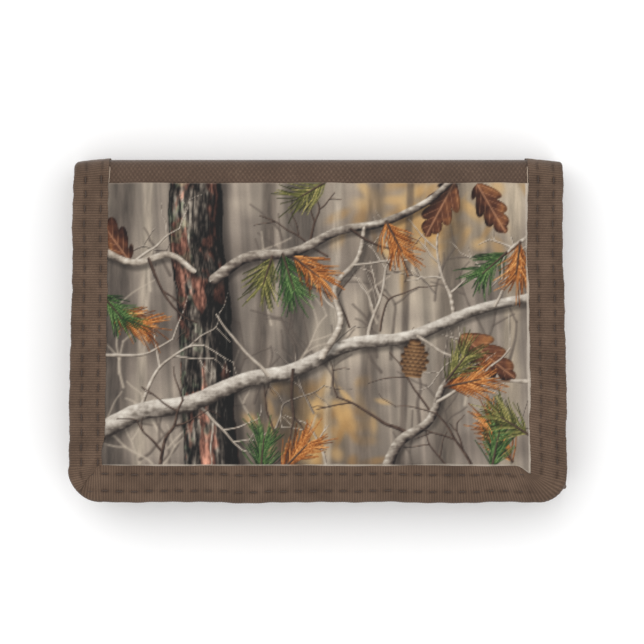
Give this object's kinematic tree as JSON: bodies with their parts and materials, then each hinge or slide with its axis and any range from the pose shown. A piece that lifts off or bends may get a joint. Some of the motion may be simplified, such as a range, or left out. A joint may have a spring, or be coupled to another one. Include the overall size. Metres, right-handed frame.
{
  "type": "trifold wallet",
  "caption": "Trifold wallet in woven nylon with taped edges: two flaps fold over a back panel with a zipped coin pocket, card pockets and a clear window.",
  "frame": {"origin": "middle of the closed wallet's footprint, on the surface that it lies on", "axes": "+X along the folds towards the banknote mouths, +Y towards the top fold, +Z out of the printed front flap"},
  "size_m": [0.1206, 0.0826, 0.0185],
  "materials": {
    "outer_nylon": "woven nylon, matte",
    "printed_cloth": "woodland print on plain weave, matte",
    "lining_nylon": "coated nylon, low sheen",
    "binding_tape": "ribbed grosgrain, matte",
    "thread": "twisted polyester, matte",
    "hook_tape": "stiff hook pile",
    "loop_tape": "soft loop pile",
    "zip_tape": "herringbone zip tape",
    "zip_teeth": "moulded coil",
    "zip_metal": "nickel plated",
    "clear_vinyl": "clear flexible vinyl"
  },
  "bodies": {
    "back_panel": {"back_shell": "outer_nylon", "back_lining": "lining_nylon", "coin_pocket_front": "lining_nylon", "coin_pocket_header": "lining_nylon", "zipper_tape_lower": "zip_tape", "zipper_tape_upper": "zip_tape", "zipper_teeth_lower": "zip_teeth", "zipper_teeth_upper": "zip_teeth", "zipper_end_stops": "zip_metal", "card_pocket": "lining_nylon", "card_pocket_trim": "binding_tape", "id_window_frame": "lining_nylon", "id_window": "clear_vinyl", "back_tape_left": "binding_tape", "back_tape_right": "binding_tape", "back_mouth_tape": "binding_tape"},
    "top_spine": {"top_spine_shell": "outer_nylon", "top_spine_lining": "lining_nylon", "top_spine_tape_left": "binding_tape", "top_spine_tape_right": "binding_tape", "top_spine_mouth_tape": "binding_tape"},
    "front_flap": {"front_shell": "outer_nylon", "fold_facing": "outer_nylon", "printed_panel": "printed_cloth", "front_lining": "lining_nylon", "front_card_pocket": "lining_nylon", "front_card_pocket_trim": "binding_tape", "hook_patch": "hook_tape", "front_tape_left": "binding_tape", "front_tape_bottom": "binding_tape", "front_tape_right": "binding_tape", "front_mouth_tape": "binding_tape", "front_stitching": "thread"},
    "bottom_spine": {"bottom_spine_shell": "outer_nylon", "bottom_spine_lining": "lining_nylon", "bottom_spine_tape_left": "binding_tape", "bottom_spine_tape_right": "binding_tape", "bottom_spine_mouth_tape": "binding_tape"},
    "inner_flap": {"inner_shell": "outer_nylon", "inner_lining": "lining_nylon", "slip_pocket": "lining_nylon", "slip_pocket_trim": "binding_tape", "loop_patch": "loop_tape", "inner_tape_left": "binding_tape", "inner_tape_tip": "binding_tape", "inner_tape_right": "binding_tape", "inner_mouth_tape": "binding_tape", "inner_stitching": "thread"},
    "zipper_slider": {"zipper_slider": "zip_metal"},
    "zipper_pull": {"zipper_pull": "zip_metal"}
  },
  "joints": [
    {"name": "front_fold_lower", "type": "hinge", "parent": "back_panel", "child": "top_spine", "pos_m": [0, 0.04065, 0.00065], "axis": [-1, 0, 0], "range_deg": [0, 90]},
    {"name": "front_fold_upper", "type": "hinge", "parent": "top_spine", "child": "front_flap", "pos_m": [0, 0.04065, 0.01745], "axis": [-1, 0, 0], "range_deg": [0, 90]},
    {"name": "inner_fold_lower", "type": "hinge", "parent": "back_panel", "child": "bottom_spine", "pos_m": [0, -0.03715, 0.00065], "axis": [1, 0, 0], "range_deg": [0, 54]},
    {"name": "inner_fold_upper", "type": "hinge", "parent": "bottom_spine", "child": "inner_flap", "pos_m": [0, -0.03715, 0.01205], "axis": [1, 0, 0], "range_deg": [0, 54]},
    {"name": "slider_travel", "type": "slide", "parent": "back_panel", "child": "zipper_slider", "axis": [1, 0, 0], "range_m": [0, 0.077]},
    {"name": "pull_swing", "type": "hinge", "parent": "zipper_slider", "child": "zipper_pull", "pos_m": [-0.0414, 0.028, 0.0066], "axis": [0, -1, 0], "range_deg": [0, 150]}
  ],
  "couplings": [
    {"joint": "front_fold_upper", "follows": "front_fold_lower", "ratio": 1},
    {"joint": "inner_fold_lower", "follows": "front_fold_lower", "ratio": 0.6},
    {"joint": "inner_fold_upper", "follows": "front_fold_lower", "ratio": 0.6},
    {"joint": "pull_swing", "follows": "front_fold_lower", "ratio": 1.6666}
  ]
}
